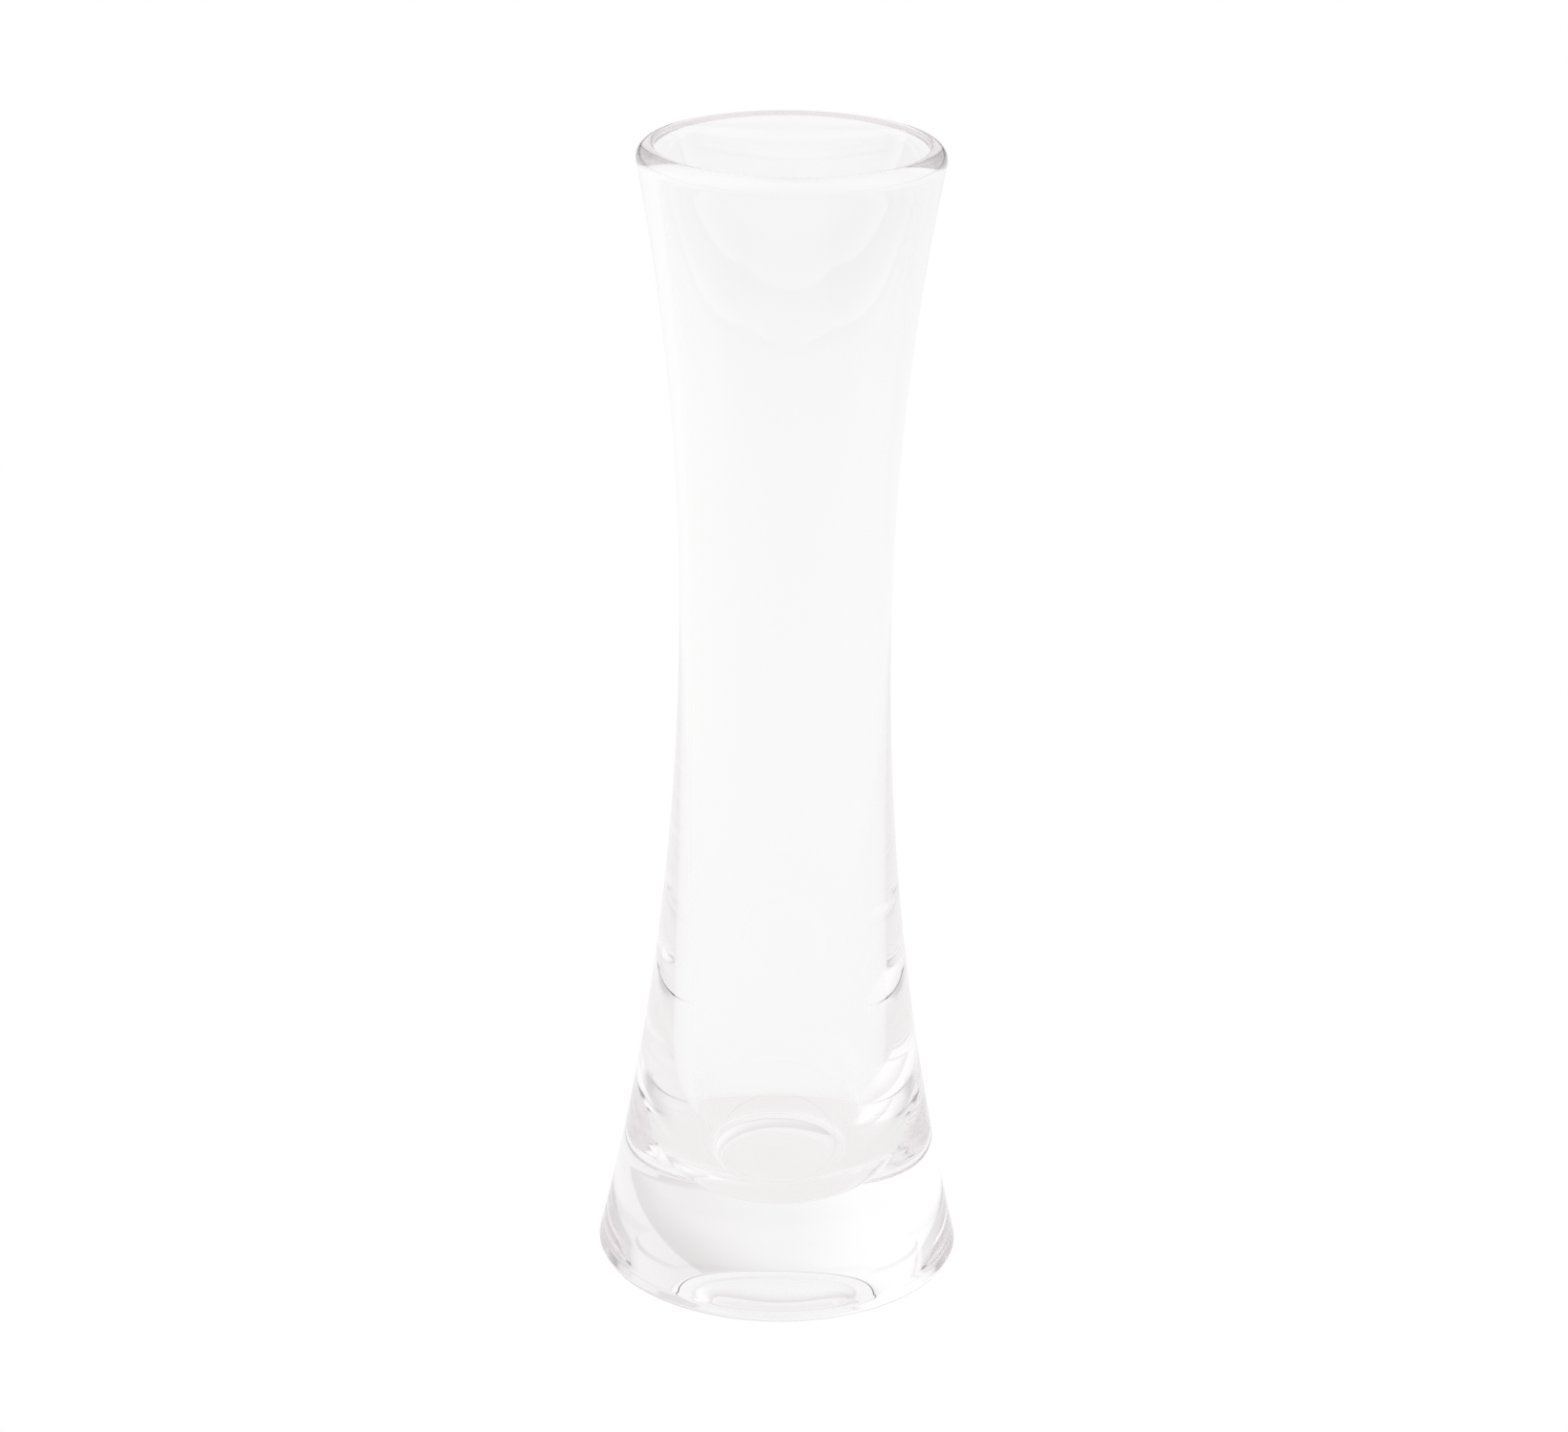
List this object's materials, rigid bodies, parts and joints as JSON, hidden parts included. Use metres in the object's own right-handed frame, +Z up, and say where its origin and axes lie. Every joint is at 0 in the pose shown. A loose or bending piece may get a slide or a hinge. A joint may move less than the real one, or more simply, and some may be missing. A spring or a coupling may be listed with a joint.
{
  "type": "bud vase",
  "caption": "Clear glass bud vase with a thick solid foot, a narrow waist, a flared mouth and a straight round well for flower stems.",
  "frame": {"origin": "on the axis of the vase, level with the ring that it stands on", "axes": "+Z up along the axis of the vase, towards its mouth; X and Y are alike, because the vase is round"},
  "size_m": [0.0636, 0.0636, 0.2],
  "materials": {
    "clear_glass": "clear and glossy, fire-polished at the rim, with fine scuffs on the ring that it stands on"
  },
  "bodies": {
    "root": {"vase_body": "clear_glass"}
  },
  "joints": []
}
